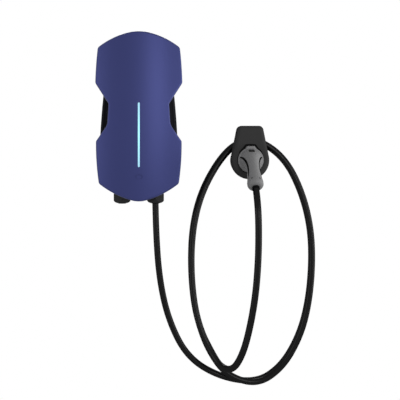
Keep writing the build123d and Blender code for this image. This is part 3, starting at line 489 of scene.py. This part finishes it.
# Plug bead
# Rubber bead round the lead where it leaves the grommet in the plug's end cap.
# The grommet's end is found from the handle's end, along the tilted axis of the cap.
cap_tilt = np.radians(46.0)
plug_axis = np.array([0.0, -np.cos(cap_tilt), -np.sin(cap_tilt)])
handle_end_depth = 0.1416
handle_end_drop = 0.0423
handle_end = np.array([holster_x, -handle_end_depth, holster_z - handle_end_drop])
cap_joint = 0.0006
cap_length = 0.014
grommet_length = 0.004
lead_end = handle_end + plug_axis * (cap_joint + cap_length + grommet_length)
bead_offset = 0.0003
bead_radius = 0.0069
bead_half_width = 0.00045
bead_half_height = 0.0012
plug_bead = rubber_ring(
    "plug_lead_bead",
    lead_end + plug_axis * bead_offset,
    plug_axis,
    bead_radius,
    bead_half_width,
    bead_half_height,
)

# Charging lead
# Black rubber-sheathed lead of 13 mm, hung in two turns over the holster's tube, from gland to plug.
# It leaves the gland straight down and meets the plug along the axis of its cap.
lead_radius = 0.0065
lead_sheath = moulded(
    "lead sheath", (0.0025, 0.0025, 0.0027), roughness=0.27, grain_scale=600.0, grain_depth=0.00004,
    shine=0.0, film=0.038,
)
finish_nodes(lead_sheath, "lead_tail")
lead_start = (gland_x, gland_y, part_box("lead_tail")[0].z)
lead_drop = [
    (0.035, -0.034, -0.235), (0.042, -0.033, -0.331), (0.0605, -0.031, -0.414), (0.098, -0.026, -0.490),
    (0.162, -0.020, -0.5325),
]
first_turn = [
    (0.241, -0.020, -0.546), (0.2935, -0.020, -0.5115), (0.3298, -0.019, -0.4495), (0.3485, -0.018, -0.382),
    (0.3563, -0.0175, -0.302), (0.3537, -0.017, -0.226), (0.335, -0.017, -0.1525),
    (0.3015, -0.017, -0.0857), (0.250, -0.017, -0.0475), (0.207, -0.017, -0.0475), (0.168, -0.017, -0.0815),
    (0.1285, -0.020, -0.1505), (0.1098, -0.022, -0.2235), (0.1063, -0.025, -0.303), (0.1123, -0.028, -0.380),
    (0.1258, -0.032, -0.434), (0.1445, -0.036, -0.479), (0.177, -0.038, -0.525),
]
second_turn = [
    (0.240, -0.038, -0.5465), (0.2935, -0.037, -0.5105), (0.3295, -0.036, -0.447), (0.347, -0.035, -0.381),
    (0.3545, -0.0345, -0.301), (0.3515, -0.034, -0.2255), (0.3335, -0.034, -0.1527),
    (0.300, -0.034, -0.0857), (0.250, -0.034, -0.0475), (0.207, -0.034, -0.0475), (0.168, -0.035, -0.0825),
    (0.129, -0.040, -0.1505), (0.1098, -0.046, -0.222), (0.105, -0.054, -0.300), (0.1105, -0.063, -0.375),
    (0.1235, -0.071, -0.428), (0.1418, -0.080, -0.465),
]
plug_run = [
    (0.160, -0.100, -0.495), (0.1805, -0.138, -0.4935), (0.197, -0.160, -0.458), (0.2092, -0.170, -0.407),
    (0.219, -0.177, -0.345), (0.2235, -0.181, -0.282), (0.2243, -0.1835, -0.224),
]
last_run = 0.040
lead_points = [lead_start, *lead_drop, *first_turn, *second_turn, *plug_run]
lead_points += [tuple(lead_end + plug_axis * last_run), tuple(lead_end)]
lead_curve = bpy.data.curves.new("lead_cord", "CURVE")
lead_curve.dimensions = "3D"
lead_curve.bevel_depth = lead_radius
lead_curve.bevel_resolution = 6
lead_curve.resolution_u = 10
lead_curve.use_fill_caps = True
lead_spline = lead_curve.splines.new("NURBS")
lead_spline.points.add(len(lead_points) - 1)
lead_spline.points.foreach_set("co", [v for x, y, z in lead_points for v in (x, y, z, 1.0)])
lead_spline.order_u = 3
lead_spline.use_endpoint_u = True
lead_curve.materials.append(lead_sheath)
lead = bpy.data.objects.new("lead_cord", lead_curve)
bpy.context.collection.objects.link(lead)
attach(lead, "root")
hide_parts("charging_lead")

# Studio
# White surround that the camera and reflections see at full white, and that lights the object softly.
# Soft boxes stand to the right in front, at the right, weaker at the left, and high behind for the back.
surround_light = 0.36
scene = bpy.context.scene
scene.view_settings.view_transform = "Standard"
world = bpy.data.worlds.new("white surround")
scene.world = world
world.use_nodes = True
tree, link = world.node_tree.nodes, world.node_tree.links.new
surround = tree["Background"]
surround.inputs["Color"].default_value = (1.0, 1.0, 1.0, 1.0)
path = tree.new("ShaderNodeLightPath")
strength = tree.new("ShaderNodeMapRange")
strength.inputs["To Min"].default_value = surround_light
strength.inputs["To Max"].default_value = 1.0
shown = tree.new("ShaderNodeMath")
shown.operation = "MAXIMUM"
link(path.outputs["Is Camera Ray"], shown.inputs[0])
link(path.outputs["Is Glossy Ray"], shown.inputs[1])
shown_through = tree.new("ShaderNodeMath")
shown_through.operation = "MAXIMUM"
link(shown.outputs["Value"], shown_through.inputs[0])
link(path.outputs["Is Transmission Ray"], shown_through.inputs[1])
link(shown_through.outputs["Value"], strength.inputs["Value"])
link(strength.outputs["Result"], surround.inputs["Strength"])


def soft_lamp(name, place, target, width, height, power):
    """Soft box at a place, turned to the target."""
    data = bpy.data.lights.new(name, "AREA")
    data.shape = "RECTANGLE"
    data.size = width
    data.size_y = height
    data.energy = power
    lamp = bpy.data.objects.new(name, data)
    bpy.context.collection.objects.link(lamp)
    lamp.location = place
    lamp.rotation_euler = (Vector(target) - Vector(place)).to_track_quat("-Z", "Y").to_euler()


soft_lamp("key lamp", (0.8, -2.05, 0.35), target=(0.0, -0.1, 0.0), width=0.6, height=1.3, power=15.0)
soft_lamp("side lamp", (2.0, -0.5, -0.1), target=(0.2, -0.1, -0.2), width=0.9, height=1.5, power=26.0)
soft_lamp("fill lamp", (-1.9, -1.2, 0.1), target=(0.0, -0.1, -0.1), width=0.8, height=1.6, power=12.0)
soft_lamp("back lamp", (0.1, 2.0, 1.1), target=(0.1, -0.05, -0.1), width=0.8, height=0.8, power=26.0)

# Camera
# Level, straight in front of the unit, shifted so that the lead and the holster come into the frame.
# The column and row are where its axis meets the picture.
image_width = 400.0
camera_column = 138.8
camera_row = 168.0
focal_pixels = 865.0
camera_distance = 1.8
camera_height = -0.104
camera_data = bpy.data.cameras.new("camera")
camera_data.sensor_width = 36.0
camera_data.lens = focal_pixels / image_width * camera_data.sensor_width
camera_data.shift_x = (image_width / 2 - camera_column) / image_width
camera_data.shift_y = (camera_row - image_width / 2) / image_width
camera = bpy.data.objects.new("camera", camera_data)
bpy.context.collection.objects.link(camera)
camera.location = (0.0, -camera_distance, camera_height)
camera.rotation_euler = (np.pi / 2, 0.0, 0.0)
scene.camera = camera
